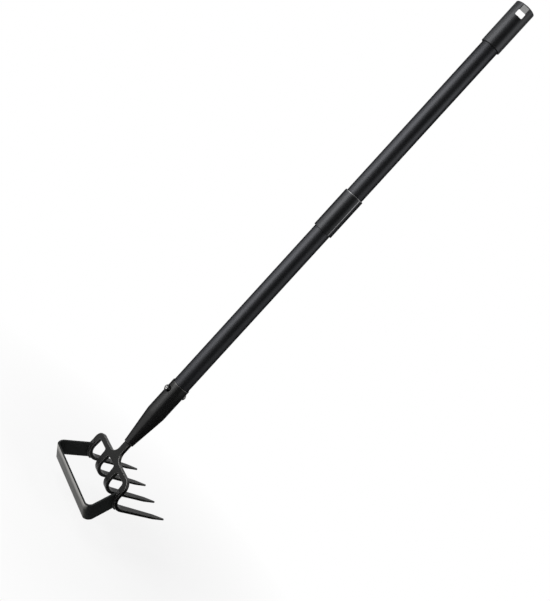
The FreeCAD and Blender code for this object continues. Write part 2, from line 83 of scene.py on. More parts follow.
def tint(tree, share, low, high):
    # From one colour to another by a share, each given as a colour or a socket
    node = tree.nodes.new("ShaderNodeMix")
    node.data_type = "RGBA"
    for index, given in ((0, share), (6, low), (7, high)):
        if isinstance(given, bpy.types.NodeSocket):
            tree.links.new(given, node.inputs[index])
        else:
            node.inputs[index].default_value = (*given, 1.0) if index else given
    return node.outputs[2]


def emptyTree(owner):
    owner.use_nodes = True
    owner.node_tree.nodes.clear()
    return owner.node_tree


def newGroup(name, kind, inputs, outputs):
    # Inputs and outputs are names with the kind of socket, such as Float for NodeSocketFloat
    group = bpy.data.node_groups.new(name, kind)
    for inOut, wanted in (("INPUT", inputs), ("OUTPUT", outputs)):
        for label, socketKind in wanted.items():
            group.interface.new_socket(name=label, in_out=inOut, socket_type="NodeSocket" + socketKind)
    entry = group.nodes.new("NodeGroupInput").outputs
    leave = group.nodes.new("NodeGroupOutput").inputs
    return group, entry, leave


def noise(tree, place, scale, detail, roughness=0.5):
    return addNode(tree, "ShaderNodeTexNoise", {
        "Vector": place, "Scale": scale, "Detail": detail, "Roughness": roughness,
    }).outputs["Fac"]


def vector(tree, operation, first, second=(0, 0, 0), output=0):
    return addNode(tree, "ShaderNodeVectorMath", {0: first, 1: second}, operation=operation).outputs[output]


def split(tree, place):
    return addNode(tree, "ShaderNodeSeparateXYZ", {0: place}).outputs


def useGroup(tree, group, **inputs):
    node = tree.nodes.new("ShaderNodeGroup")
    node.node_tree = group
    for label, given in inputs.items():
        socket = node.inputs[label]
        if isinstance(given, bpy.types.NodeSocket):
            tree.links.new(given, socket)
        else:
            socket.default_value = given
    return node.outputs


# Shared surface effects

def makeGrain():
    # Fine orange peel or moulded grain, with broad soft patches in tone
    group, entry, leave = newGroup("fineGrain", "ShaderNodeTree", {
        "Place": "Vector", "Scale": "Float", "Patch": "Float",
    }, {"Height": "Float", "Tone": "Float"})
    fine = noise(group, entry["Place"], entry["Scale"], detail=3.0, roughness=0.55)
    broad = noise(group, entry["Place"], entry["Patch"], detail=4.0, roughness=0.6)
    group.links.new(fine, leave["Height"])
    group.links.new(spread(group, broad, 0.3, 0.7), leave["Tone"])
    return group


edgeWearAndHighlight = {
    "samples": 8, "breakScale": 250.0, "breakFrom": 0.30, "breakTo": 0.52,
    "cornerFrom": 0.99, "cornerTo": 0.90,  # the rounded normal's dot with the face's own, at a corner
}


def makeEdgeWearAndHighlight(wearAndHighlight):
    # Rubbed corners, broken up by noise; the same mask also serves as a painted highlight along the edges
    group, entry, leave = newGroup("rubbedEdgesAndHighlight", "ShaderNodeTree", {
        "Place": "Vector", "Radius": "Float", "Amount": "Float",
    }, {"Mask": "Float", "Normal": "Vector"})
    rounded = addNode(group, "ShaderNodeBevel", {"Radius": entry["Radius"]}, samples=wearAndHighlight["samples"]).outputs[0]
    flat = addNode(group, "ShaderNodeNewGeometry").outputs["Normal"]
    facing = vector(group, "DOT_PRODUCT", rounded, flat, "Value")
    edge = spread(group, facing, wearAndHighlight["cornerFrom"], wearAndHighlight["cornerTo"])
    breaks = noise(group, entry["Place"], wearAndHighlight["breakScale"], detail=5.0, roughness=0.65)
    wornAndHighlit = calc(group, "MULTIPLY", edge, spread(group, breaks, wearAndHighlight["breakFrom"], wearAndHighlight["breakTo"]))
    group.links.new(calc(group, "MULTIPLY", wornAndHighlit, entry["Amount"]), leave["Mask"])
    group.links.new(rounded, leave["Normal"])
    return group


def makeBrushing():
    # Grinding lines, long in one direction
    group, entry, leave = newGroup("grindingLines", "ShaderNodeTree", {
        "Place": "Vector", "Across": "Float", "Along": "Float",
    }, {"Line": "Float", "Cloud": "Float"})
    x, y, z = split(group, entry["Place"])
    stretched = addNode(group, "ShaderNodeCombineXYZ", {
        0: calc(group, "MULTIPLY", x, entry["Across"]),
        1: calc(group, "MULTIPLY", y, entry["Along"]),
        2: calc(group, "MULTIPLY", z, entry["Across"]),
    }).outputs[0]
    line = noise(group, stretched, 1.0, detail=3.0, roughness=0.7)
    cloud = noise(group, entry["Place"], 40.0, detail=4.0)
    group.links.new(spread(group, line, 0.25, 0.75), leave["Line"])
    group.links.new(spread(group, cloud, 0.3, 0.7), leave["Cloud"])
    return group


def makeDust():
    # A thin film that settles unevenly: clouds, each made of specks 30 times finer
    group, entry, leave = newGroup("settledDust", "ShaderNodeTree", {
        "Place": "Vector", "Scale": "Float", "Amount": "Float",
    }, {"Mask": "Float"})
    cloud = noise(group, entry["Place"], entry["Scale"], detail=8.0, roughness=0.7)
    speck = noise(group, entry["Place"], calc(group, "MULTIPLY", entry["Scale"], 30.0), detail=2.0)
    film = calc(group, "MULTIPLY", spread(group, cloud, 0.45, 0.75), spread(group, speck, 0.35, 0.65))
    group.links.new(calc(group, "MULTIPLY", film, entry["Amount"]), leave["Mask"])
    return group


fineGrain = makeGrain()
rubbedEdgesAndHighlight = makeEdgeWearAndHighlight(edgeWearAndHighlight)
grindingLines = makeBrushing()
settledDust = makeDust()


# Materials

def newMaterial(name):
    # A material with its own Principled shader, and the coordinates that its patterns read
    material = bpy.data.materials.new(name)
    tree = emptyTree(material)
    skin = addNode(tree, "ShaderNodeBsdfPrincipled")
    addNode(tree, "ShaderNodeOutputMaterial", {"Surface": skin.outputs[0]})
    return material, tree, skin, addNode(tree, "ShaderNodeTexCoord").outputs


def setSkin(skin, **constants):
    for label, given in constants.items():
        skin.inputs[label].default_value = given


def addBump(tree, skin, height, distance, normal=None):
    bump = addNode(tree, "ShaderNodeBump", {"Height": height, "Distance": distance})
    if normal:
        tree.links.new(normal, bump.inputs["Normal"])
    tree.links.new(bump.outputs[0], skin.inputs["Normal"])


def coatedMaterial(name, look):
    # Paint or moulded plastic: grain, soft patches, rubbed corners that double as painted edge highlights, and a
    # little dust
    material, tree, skin, coordinates = newMaterial(name)
    place = coordinates["Object"]
    grain = useGroup(tree, fineGrain, Place=place, Scale=look["grainScale"], Patch=look["patchScale"])
    rubbed = useGroup(tree, rubbedEdgesAndHighlight, Place=place, Radius=look["wearAndHighlightRadius"], Amount=look["wearAndHighlight"])
    wearAndHighlight = rubbed["Mask"]
    dust = useGroup(tree, settledDust, Place=place, Scale=look["dustScale"], Amount=look["dust"])["Mask"]
    height = grain["Height"]
    if look["seamRidgeAndHighlight"]:
        # A fine ridge down both sides that also carries a painted highlight line, and a painted highlight ring
        # round the lip
        side, _, up = split(tree, place)
        ridgeAndHighlightLine = spread(tree, calc(tree, "ABSOLUTE", side), *look["seamRidgeAndHighlight"])
        fromLip = calc(tree, "ABSOLUTE", calc(tree, "SUBTRACT", up, look["lipUp"]))
        lipHighlightBand = calc(tree, "MULTIPLY", spread(tree, fromLip, *look["lipHighlightBand"]), look["lipHighlightAmount"])
        patchy = spread(tree, grain["Tone"], 0.0, 1.0, *look["marks"])
        wearAndHighlight = calc(tree, "MAXIMUM", wearAndHighlight, calc(tree, "MULTIPLY", calc(tree, "MAXIMUM", ridgeAndHighlightLine, lipHighlightBand), patchy))
        height = calc(tree, "ADD", height, calc(tree, "MULTIPLY", ridgeAndHighlightLine, look["ridgeHeight"]))
    colour = tint(tree, grain["Tone"], look["dark"], look["light"])
    # Worn corners and painted edge highlights both lighten the colour here
    colour = tint(tree, wearAndHighlight, colour, look["wornAndHighlit"])
    colour = tint(tree, dust, colour, look["dustColour"])
    tree.links.new(colour, skin.inputs["Base Color"])
    rough = spread(tree, grain["Tone"], 0.0, 1.0, *look["rough"])
    rough = calc(tree, "ADD", rough, calc(tree, "MULTIPLY", dust, look["dustRough"]))
    metal = spread(tree, wearAndHighlight, 0.0, 1.0, look["metal"], look["wornAndHighlitMetal"])
    if look["polish"]:
        # The hanging eye's floor and roof, smooth from the mould's core
        facing = calc(tree, "ABSOLUTE", split(tree, coordinates["Normal"])[2])
        up = calc(tree, "ABSOLUTE", split(tree, place)[2])
        level = spread(tree, facing, *look["polishFacing"])
        core = calc(tree, "MULTIPLY", level, spread(tree, up, *look["polish"]))
        rough = calc(tree, "MULTIPLY", rough, spread(tree, core, 0.0, 1.0, 1.0, look["polishRough"]))
        metal = calc(tree, "MULTIPLY", metal, calc(tree, "SUBTRACT", 1.0, core))
        tree.links.new(core, skin.inputs["Coat Weight"])
        setSkin(skin, **{"Coat Roughness": look["coatRough"]})
    tree.links.new(rough, skin.inputs["Roughness"])
    tree.links.new(metal, skin.inputs["Metallic"])
    setSkin(skin, **{"Specular IOR Level": look["specular"], "Specular Tint": (*look["rim"], 1.0)})
    addBump(tree, skin, height, look["grainDepth"], rubbed["Normal"])
    return material


# Satin black with dark rims: a dark base, mostly as a metallic sheen that fades at a low angle
tubePaintLook = {
    "dark": (0.0270, 0.0275, 0.0298), "light": (0.0310, 0.0315, 0.0340), "wornAndHighlit": (0.20, 0.198, 0.19),
    "dustColour": (0.16, 0.15, 0.13), "grainScale": 900.0, "grainDepth": 0.000012, "patchScale": 14.0,
    "rough": (0.37, 0.43), "wearAndHighlightRadius": 0.0006, "wearAndHighlight": 0.3, "metal": 0.8, "wornAndHighlitMetal": 0.8,
    "dustScale": 30.0, "dust": 0.012, "dustRough": 0.35, "specular": 0.02, "rim": (0.0, 0.0, 0.0),
    # The seam entry gives a fine ridge together with its painted highlight line
    "seamRidgeAndHighlight": None, "polish": None,  # a seam's ridge each side of the middle, and an eye's height from the origin
}
ferruleLook = dict(
    tubePaintLook, dark=(0.0330, 0.0330, 0.0330), light=(0.0385, 0.0385, 0.0385), rough=(0.25, 0.31),
    wearAndHighlight=0.7, wearAndHighlightRadius=0.0009,
)
headPaintLook = dict(
    tubePaintLook, dark=(0.0185, 0.0185, 0.0182), light=(0.0230, 0.0230, 0.0227), wornAndHighlit=(0.30, 0.298, 0.29),
    grainScale=620.0, grainDepth=0.00002, rough=(0.34, 0.42), wearAndHighlightRadius=0.0010, wearAndHighlight=0.7,
    metal=0.85, wornAndHighlitMetal=0.7, rim=(1.0, 1.0, 1.0),
)
weldPaintLook = dict(headPaintLook, rough=(0.24, 0.34), metal=0.6, wearAndHighlightRadius=0.0005, wearAndHighlight=0.5)
capPlasticLook = dict(
    tubePaintLook, dark=(0.0270, 0.0275, 0.0290), light=(0.0310, 0.0315, 0.0330), wornAndHighlit=(0.12, 0.12, 0.122),
    grainScale=1500.0, rough=(0.34, 0.40), wearAndHighlight=0.6, rim=(0.45, 0.45, 0.45),
    polish=(8.424 * mm, 7.956 * mm), polishFacing=(0.90, 0.97), polishRough=0.5, coatRough=0.2,
)
sleevePlasticLook = dict(
    capPlasticLook, wornAndHighlit=(0.34, 0.34, 0.345), wearAndHighlight=0.8, rim=(0.0, 0.0, 0.0), polish=None,
    seamRidgeAndHighlight=(0.5175 * mm, 0.3825 * mm), ridgeHeight=6.0, lipUp=-308.5 * mm, lipHighlightBand=(0.9 * mm, 0.5 * mm), lipHighlightAmount=0.55,
    marks=(0.40, 0.65),
)
rubberLook = dict(
    capPlasticLook, polish=None, rough=(0.6, 0.75), metal=0.0, wornAndHighlitMetal=0.0, specular=0.1,
)

tubePaint = coatedMaterial("satinTubePaint", tubePaintLook)
ferrulePaint = coatedMaterial("satinFerrulePaint", ferruleLook)
headPaint = coatedMaterial("mattHeadPaint", headPaintLook)
weldPaint = coatedMaterial("paintedWeld", weldPaintLook)
capPlastic = coatedMaterial("mouldedCapPlastic", capPlasticLook)
sleevePlastic = coatedMaterial("mouldedSleevePlastic", sleevePlasticLook)
washerRubber = coatedMaterial("washerRubber", rubberLook)

# The bolt's head is bright at its crown and darker round its rim; the nut is a rougher copy of the same zinc,
# darkened as painted shade
zincLook = {
    "dark": (0.70, 0.70, 0.69), "light": (0.93, 0.92, 0.90), "rimDarkColour": (0.012, 0.012, 0.012), "rough": (0.16, 0.30),
    "grainScale": 1400.0, "patchScale": 260.0, "depth": 0.00002, "up": -660.6 * mm, "crown": 2.0 * mm,
    "rim": 2.8 * mm, "ragged": 0.4 * mm,
}
# The nut's darker colour is painted shade
dullShadedZincLook = dict(
    zincLook, dark=(0.035, 0.035, 0.034), light=(0.12, 0.118, 0.115), rough=(0.30, 0.45), rim=0.0,
)


def makeZinc(name, look):
    material, tree, skin, coordinates = newMaterial(name)
    place = coordinates["Object"]
    grain = useGroup(tree, fineGrain, Place=place, Scale=look["grainScale"], Patch=look["patchScale"])
    colour = tint(tree, grain["Tone"], look["dark"], look["light"])
    if look["rim"]:
        level = vector(tree, "ADD", place, (0, 0, -look["up"]))
        far = vector(tree, "LENGTH", vector(tree, "MULTIPLY", level, (0, 1, 1)), output="Value")
        far = calc(tree, "ADD", far, calc(tree, "MULTIPLY", grain["Height"], look["ragged"]))
        colour = tint(tree, spread(tree, far, look["crown"], look["rim"]), colour, look["rimDarkColour"])
    tree.links.new(colour, skin.inputs["Base Color"])
    tree.links.new(spread(tree, grain["Tone"], 0.0, 1.0, *look["rough"]), skin.inputs["Roughness"])
    setSkin(skin, Metallic=1.0)
    addBump(tree, skin, grain["Height"], look["depth"])
    return material


brightZinc = makeZinc("brightZinc", zincLook)
dullShadedZinc = makeZinc("dullShadedZinc", dullShadedZincLook)

# The stirrup: sizes in its own frame, which sits on the axis of the outer tines' bend. X runs out to the
# cutting face and Z from the strip's near edge to its far edge
strip = {
    "thickness": 3.0 * mm, "width": 23.9 * mm, "nearRise": 14.1 * mm, "reach": 62.0 * mm, "length": 144.4 * mm,
    "cornerRadius": 7.5 * mm, "cornerSteps": 14, "widthCuts": 22, "nearBevel": 8.5 * mm, "farBevel": 2.0 * mm,
    "bevelCut": 0.5 * mm, "edgeRound": 0.25 * mm, "tilt": 36.5, "bendOuter": 19.1 * mm, "seatGap": 0.15 * mm,
    "outerTine": 53.85 * mm, "axisAlong": 16.5 * mm, "axisUp": -804.0 * mm, "roundFrom": 50.0, "sharpFrom": 25.0,
}
stripTurn = math.radians(180 - strip["tilt"])
stripPlace = Matrix.Translation((strip["axisAlong"], 0, strip["axisUp"])) @ Matrix.Rotation(stripTurn, 4, "Y")
# How far the arms spread for each step outwards
stripFlare = (strip["length"] / 2 - strip["outerTine"] - strip["thickness"] / 2) / (
    strip["reach"] - strip["bendOuter"]
)

bladeLook = {
    "black": (0.0110, 0.0119, 0.0116), "blackLight": (0.0175, 0.0188, 0.0183), "blackRough": 0.42,
    "ground": (0.018, 0.0178, 0.0145), "groundLight": (0.036, 0.0356, 0.0305), "groundRough": (0.48, 0.32),
    # The bevel colours are ground steel with a painted reflection on them
    "bevel": (0.24, 0.235, 0.22), "bevelLight": (0.44, 0.43, 0.415), "bevelFrom": 1.05, "bevelTo": 0.25,
    "cornerFrom": 6 * mm, "cornerTo": 16 * mm, "cornerGround": 0.3, "ragged": 4 * mm, "specular": 0.04,
    "lineAcross": 1100.0, "lineAlong": 22.0, "grainScale": 600.0, "patchScale": 35.0, "depth": 0.00002,
    "wearAndHighlightRadius": 0.0007, "wearAndHighlight": 0.6, "wornAndHighlitMetal": 0.8, "bevelRagged": 0.25,
    "outFacing": (0.55, 0.9), "endFacing": (0.75, 0.4),  # how squarely a face looks out, or along the width
}


def makeBladeSteel(look):
    # Blackened strip whose cutting face is ground: grey along the face, and a lighter band over the near bevel
    # that is partly ground steel and partly painted reflection
    material, tree, skin, coordinates = newMaterial("groundBladeSteel")
    moved = addNode(tree, "ShaderNodeMapping", {
        "Vector": coordinates["Object"], "Location": (-strip["axisAlong"], 0, -strip["axisUp"]),
    }).outputs[0]
    own, faced = (addNode(tree, "ShaderNodeVectorRotate", {
        "Vector": given, "Axis": (0, 1, 0), "Angle": -stripTurn,
    }, rotation_type="AXIS_ANGLE").outputs[0] for given in (moved, coordinates["Normal"]))
    out, across, along = split(tree, own)
    facingOut, _, endOn = split(tree, faced)
    lines = useGroup(tree, grindingLines, Place=own, Across=look["lineAcross"], Along=look["lineAlong"])
    grain = useGroup(tree, fineGrain, Place=own, Scale=look["grainScale"], Patch=look["patchScale"])
    outside = calc(tree, "MULTIPLY", spread(tree, facingOut, *look["outFacing"]), spread(
        tree, out, strip["reach"] - 4 * strip["thickness"], strip["reach"] - 2 * strip["thickness"]
    ))
    ragged = calc(tree, "MULTIPLY", calc(tree, "SUBTRACT", lines["Cloud"], 0.5), look["ragged"])
    fromCorner = calc(tree, "SUBTRACT", strip["length"] / 2, calc(tree, "ABSOLUTE", across))
    fromCorner = calc(tree, "ADD", fromCorner, ragged)
    bared = spread(tree, fromCorner, look["cornerFrom"], look["cornerTo"], look["cornerGround"], 1.0)
    fromNear = calc(tree, "ADD", along, strip["nearRise"])
    fromNear = calc(tree, "ADD", fromNear, calc(tree, "MULTIPLY", ragged, look["bevelRagged"]))
    # A lighter band over the near bevel: ground steel and a painted reflection
    sharpenedWithPaintedReflection = spread(
        tree, fromNear, look["bevelFrom"] * strip["nearBevel"], look["bevelTo"] * strip["nearBevel"]
    )
    face = tint(tree, lines["Line"], look["ground"], look["groundLight"])
    bevel = tint(tree, lines["Line"], look["bevel"], look["bevelLight"])
    face = tint(tree, sharpenedWithPaintedReflection, face, bevel)
    face = tint(tree, calc(tree, "MAXIMUM", bared, sharpenedWithPaintedReflection), look["blackLight"], face)
    black = tint(tree, grain["Tone"], look["black"], look["blackLight"])
    # Rubbed edges, which also stand in as painted edge highlights on the black arms
    wearAndHighlight = useGroup(tree, rubbedEdgesAndHighlight, Place=own, Radius=look["wearAndHighlightRadius"], Amount=look["wearAndHighlight"])["Mask"]
    # The strip's narrow edges themselves stay dark
    wearAndHighlight = calc(tree, "MULTIPLY", wearAndHighlight, spread(tree, calc(tree, "ABSOLUTE", endOn), *look["endFacing"]))
    black = tint(tree, wearAndHighlight, black, look["groundLight"])
    tree.links.new(tint(tree, outside, black, face), skin.inputs["Base Color"])
    metal = calc(tree, "MAXIMUM", outside, calc(tree, "MULTIPLY", wearAndHighlight, look["wornAndHighlitMetal"]))
    tree.links.new(metal, skin.inputs["Metallic"])
    rough = spread(tree, lines["Line"], 0.0, 1.0, *look["groundRough"])
    rough = addNode(tree, "ShaderNodeMix", {0: outside, 2: look["blackRough"], 3: rough}).outputs[0]
    tree.links.new(rough, skin.inputs["Roughness"])
    setSkin(skin, **{"Specular IOR Level": look["specular"]})
    height = addNode(tree, "ShaderNodeMix", {0: outside, 2: grain["Height"], 3: lines["Line"]}).outputs[0]
    addBump(tree, skin, height, look["depth"])
    return material


bladeSteel = makeBladeSteel(bladeLook)
print("materials built")


# Mesh helpers

def linked(name, mesh):
    thing = bpy.data.objects.new(name, mesh)
    bpy.context.scene.collection.objects.link(thing)
    return thing


def baked(thing):
    # The evaluated shape as a plain mesh; the object and its modifiers go
    graph = bpy.context.evaluated_depsgraph_get()
    mesh = bpy.data.meshes.new_from_object(thing.evaluated_get(graph), depsgraph=graph)
    old = thing.data
    bpy.data.objects.remove(thing)
    bpy.data.meshes.remove(old)
    return mesh


def finishPiece(name, mesh, body, material, node, angle):
    # Smooth faces but for the sharp edges, then the piece's body, finish and the node that it stands for
    mesh.materials.clear()
    mesh.materials.append(material)
    for face in mesh.polygons:
        face.use_smooth = True
        face.material_index = 0
    mesh.set_sharp_from_angle(angle=math.radians(angle))
    piece = linked(name, mesh)
    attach(piece, body)
    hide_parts(node)


joining = {"distance": 0.002 * mm, "flatAngle": 0.2}


def pointsJoined(mesh, flatten=False):
    # Points that lie on each other become one, faces without area go, and flat neighbours can become one face
    shape = bmesh.new()
    shape.from_mesh(mesh)
    bmesh.ops.remove_doubles(shape, verts=shape.verts, dist=joining["distance"])
    if flatten:
        bmesh.ops.dissolve_limit(
            shape, angle_limit=math.radians(joining["flatAngle"]), use_dissolve_boundaries=False,
            verts=shape.verts, edges=shape.edges,
        )
    shape.to_mesh(mesh)
    shape.free()
    return mesh


def mergedCopy(node, flatten):
    # A node's own shape with its loose triangles joined
    mesh = pointsJoined(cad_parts[node].data.copy(), flatten)
    if "custom_normal" in mesh.attributes:
        mesh.attributes.remove(mesh.attributes["custom_normal"])
    return mesh


def edgesRounded(mesh, width, angle=35.0):
    thing = linked("roundedWork", mesh)
    bevel = thing.modifiers.new("rounded", "BEVEL")
    bevel.limit_method = "ANGLE"
    bevel.angle_limit = math.radians(angle)
    bevel.width = width
    bevel.segments = 2
    bevel.miter_outer = "MITER_ARC"
    return baked(thing)


def followTree(thing, group, **inputs):
    # A geometry node tree on the object, its inputs set by name
    modifier = thing.modifiers.new("nodes", "NODES")
    modifier.node_group = group
    sockets = {socket.name: socket.identifier for socket in group.interface.items_tree if socket.in_out == "INPUT"}
    for label, given in inputs.items():
        modifier[sockets[label]] = given


def pathObject(name, runs):
    # Open or closed lines of points, as edges for a node tree to follow
    points, edges = [], []
    for run, closed in runs:
        first = len(points)
        points += run
        edges += [(first + index, first + index + 1) for index in range(len(run) - 1)]
        if closed:
            edges.append((len(points) - 1, first))
    mesh = bpy.data.meshes.new(name)
    mesh.from_pydata(points, edges, [])
    return linked(name, mesh)


# The stirrup blade: one strip swept along its bent path

def makeStripTree():
    group, entry, leave = newGroup("bentStrip", "GeometryNodeTree", {
        "Path": "Geometry", "Thickness": "Float", "Width": "Float", "Middle": "Float", "Width Cuts": "Int",
        "Corner Radius": "Float", "Corner Steps": "Int", "Reach": "Float", "Near Bevel": "Float",
        "Far Bevel": "Float", "Bevel Cut": "Float", "Seat Radius": "Float", "Tilt": "Float", "Flare": "Float",
        "Material": "Material",
    }, {"Strip": "Geometry"})
    curve = addNode(group, "GeometryNodeMeshToCurve", {"Mesh": entry["Path"]}).outputs[0]
    curve = addNode(group, "GeometryNodeFilletCurve", {
        "Curve": curve, "Radius": entry["Corner Radius"], "Count": entry["Corner Steps"],
    }, mode="POLY").outputs[0]
    curve = addNode(group, "GeometryNodeSetCurveNormal", {"Curve": curve}, mode="Z_UP").outputs[0]
    factor = addNode(group, "GeometryNodeSplineParameter").outputs["Factor"]
    keep = group.nodes.new("GeometryNodeCaptureAttribute")
    keep.capture_items.new("FLOAT", "Share")
    group.links.new(curve, keep.inputs["Geometry"])
    group.links.new(factor, keep.inputs["Share"])
    profile = addNode(group, "GeometryNodeCurvePrimitiveQuadrilateral", {
        "Width": entry["Thickness"], "Height": entry["Width"],
    }).outputs[0]
    # The two long sides are cut for the bevels, the two short ones stay whole for the rounded edges
    corner = addNode(group, "GeometryNodeInputIndex").outputs[0]
    cuts = calc(group, "MULTIPLY", calc(group, "MODULO", corner, 2.0), entry["Width Cuts"])
    profile = addNode(group, "GeometryNodeSubdivideCurve", {"Curve": profile, "Cuts": cuts}).outputs[0]
    swept = addNode(group, "GeometryNodeCurveToMesh", {
        "Curve": keep.outputs["Geometry"], "Profile Curve": profile, "Fill Caps": True,
    }).outputs[0]
    position = addNode(group, "GeometryNodeInputPosition").outputs[0]
    out, across, level = split(group, position)
    along = calc(group, "ADD", level, entry["Middle"])
    # The ground bevels: the face steps back towards the strip's two edges
    halfWidth = calc(group, "MULTIPLY", entry["Width"], 0.5)
    steps = []
    for side, bevel in ((-1.0, entry["Near Bevel"]), (1.0, entry["Far Bevel"])):
        fromEdge = calc(group, "SUBTRACT", halfWidth, calc(group, "MULTIPLY", level, side))
        steps.append(calc(group, "SUBTRACT", 1.0, calc(group, "DIVIDE", fromEdge, bevel)))
    step = calc(group, "MAXIMUM", calc(group, "MAXIMUM", steps[0], steps[1]), 0.0)
    back = calc(group, "MULTIPLY", step, entry["Bevel Cut"])
    limited = calc(group, "MINIMUM", out, calc(group, "SUBTRACT", entry["Reach"], back))
    # The arms' ends are hollowed to sit on the tines' bends, and run straight beside the plate above them
    radius, tilt = entry["Seat Radius"], entry["Tilt"]
    squares = [calc(group, "MULTIPLY", amount, amount) for amount in (radius, along)]
    hollow = calc(group, "SQRT", calc(group, "SUBTRACT", *squares))
    straight = calc(group, "ADD", calc(group, "DIVIDE", radius, calc(group, "COSINE", tilt)),
                    calc(group, "MULTIPLY", along, calc(group, "TANGENT", tilt)))
    bendStart = calc(group, "MULTIPLY", radius, calc(group, "SINE", tilt))
    above = calc(group, "LESS_THAN", along, calc(group, "MULTIPLY", bendStart, -1.0))
    seat = addNode(group, "ShaderNodeMix", {0: above, 2: hollow, 3: straight}).outputs[0]
    fromHalf = calc(group, "ABSOLUTE", calc(group, "SUBTRACT", keep.outputs["Share"], 0.5))
    atEnd = calc(group, "GREATER_THAN", fromHalf, 0.4999)
    newOut = addNode(group, "ShaderNodeMix", {0: atEnd, 2: limited, 3: seat}).outputs[0]
    # Where an arm's end moves outwards it also moves along the arm's own slant
    shift = calc(group, "MULTIPLY", calc(group, "SUBTRACT", seat, out), entry["Flare"])
    shift = calc(group, "MULTIPLY", calc(group, "MULTIPLY", shift, atEnd), calc(group, "SIGN", across))
    newAcross = calc(group, "ADD", across, shift)
    placed = addNode(group, "GeometryNodeSetPosition", {
        "Geometry": swept,
        "Position": addNode(group, "ShaderNodeCombineXYZ", {0: newOut, 1: newAcross, 2: along}).outputs[0],
    }).outputs[0]
    real = addNode(group, "GeometryNodeRealizeInstances", {"Geometry": placed}).outputs[0]
    done = addNode(group, "GeometryNodeSetMaterial", {"Geometry": real, "Material": entry["Material"]}).outputs[0]
    group.links.new(done, leave["Strip"])
    return group


def makeBlade():
    seatRadius = strip["bendOuter"] + strip["seatGap"]
    lineOut = strip["reach"] - strip["thickness"] / 2
    lineAcross, tailAcross = (
        strip["outerTine"] + stripFlare * (out - strip["bendOuter"]) for out in (lineOut, seatRadius)
    )
    work = pathObject("stripPath", [([
        (seatRadius, tailAcross, 0), (lineOut, lineAcross, 0),
        (lineOut, -lineAcross, 0), (seatRadius, -tailAcross, 0),
    ], False)])
    followTree(work, makeStripTree(), **{
        "Thickness": strip["thickness"], "Width": strip["width"], "Width Cuts": strip["widthCuts"],
        "Middle": strip["width"] / 2 - strip["nearRise"], "Corner Radius": strip["cornerRadius"],
        "Corner Steps": strip["cornerSteps"], "Reach": strip["reach"], "Near Bevel": strip["nearBevel"],
        "Far Bevel": strip["farBevel"], "Bevel Cut": strip["bevelCut"], "Seat Radius": seatRadius,
        "Tilt": math.radians(strip["tilt"]), "Flare": stripFlare, "Material": bladeSteel,
    })
    mesh = edgesRounded(pointsJoined(baked(work)), strip["edgeRound"], strip["roundFrom"])
    mesh = pointsJoined(mesh)
    mesh.transform(stripPlace)
    finishPiece(
        "stirrup_blade", mesh, "lower_section", bladeSteel, "hoe_blade", strip["sharpFrom"]
    )


# Weld beads: overlapping scales along each joint, skinned into one bead

bead = {
    "flat": 0.62, "ragged": 0.12, "voxel": 0.28 * mm, "softening": 2, "sharpFrom": 60.0,
    "armRadius": 2.3 * mm, "armPitch": 1.25 * mm, "armOverhang": 1.2 * mm, "armSteps": 24, "armSeed": 5,
    "neckRadius": 1.7 * mm, "neckPitch": 1.1 * mm, "neckRing": 5.7 * mm, "neckUp": -754.0 * mm,
    "neckSteps": 48, "neckSeed": 8,
}


def makeBeadTree():
    group, entry, leave = newGroup("weldScales", "GeometryNodeTree", {
        "Path": "Geometry", "Radius": "Float", "Pitch": "Float", "Flat": "Float", "Ragged": "Float",
        "Seed": "Int", "Material": "Material",
    }, {"Bead": "Geometry"})
    curve = addNode(group, "GeometryNodeMeshToCurve", {"Mesh": entry["Path"]}).outputs[0]
    points = addNode(group, "GeometryNodeResampleCurve", {"Curve": curve, "Length": entry["Pitch"]}, mode="LENGTH")
    tangent = addNode(group, "GeometryNodeInputTangent").outputs[0]
    lean = addNode(group, "FunctionNodeAlignRotationToVector", {"Vector": tangent}, axis="Z").outputs[0]
    scale = group.nodes.new("FunctionNodeRandomValue")
    scale.data_type = "FLOAT"
    for index, given in (
        (2, calc(group, "SUBTRACT", 1.0, entry["Ragged"])), (3, calc(group, "ADD", 1.0, entry["Ragged"])),
        (8, entry["Seed"]),
    ):
        group.links.new(given, scale.inputs[index])
    ball = addNode(group, "GeometryNodeMeshIcoSphere", {"Radius": entry["Radius"], "Subdivisions": 3}).outputs[0]
    flatten = addNode(group, "ShaderNodeCombineXYZ", {0: 1.0, 1: 1.0, 2: entry["Flat"]}).outputs[0]
    scaled = addNode(group, "ShaderNodeVectorMath", {0: flatten, "Scale": scale.outputs[1]}, operation="SCALE")
    scales = addNode(group, "GeometryNodeInstanceOnPoints", {
        "Points": points.outputs[0], "Instance": ball, "Rotation": lean, "Scale": scaled.outputs[0],
    }).outputs[0]
    real = addNode(group, "GeometryNodeRealizeInstances", {"Geometry": scales}).outputs[0]
    done = addNode(group, "GeometryNodeSetMaterial", {"Geometry": real, "Material": entry["Material"]}).outputs[0]
    group.links.new(done, leave["Bead"])
    return group


beadTree = makeBeadTree()


def makeBead(name, runs, node, kind, place=None):
    # Scales along the runs under one closed skin
    work = pathObject(name + "Path", runs)
    followTree(work, beadTree, **{
        "Radius": bead[kind + "Radius"], "Pitch": bead[kind + "Pitch"], "Flat": bead["flat"],
        "Ragged": bead["ragged"], "Seed": bead[kind + "Seed"], "Material": weldPaint,
    })
    remesh = work.modifiers.new("skin", "REMESH")
    remesh.mode = "VOXEL"
    remesh.voxel_size = bead["voxel"]
    soften = work.modifiers.new("soften", "SMOOTH")
    soften.iterations = bead["softening"]
    mesh = baked(work)
    if place:
        mesh.transform(place)
    finishPiece(name, mesh, "lower_section", weldPaint, node, bead["sharpFrom"])


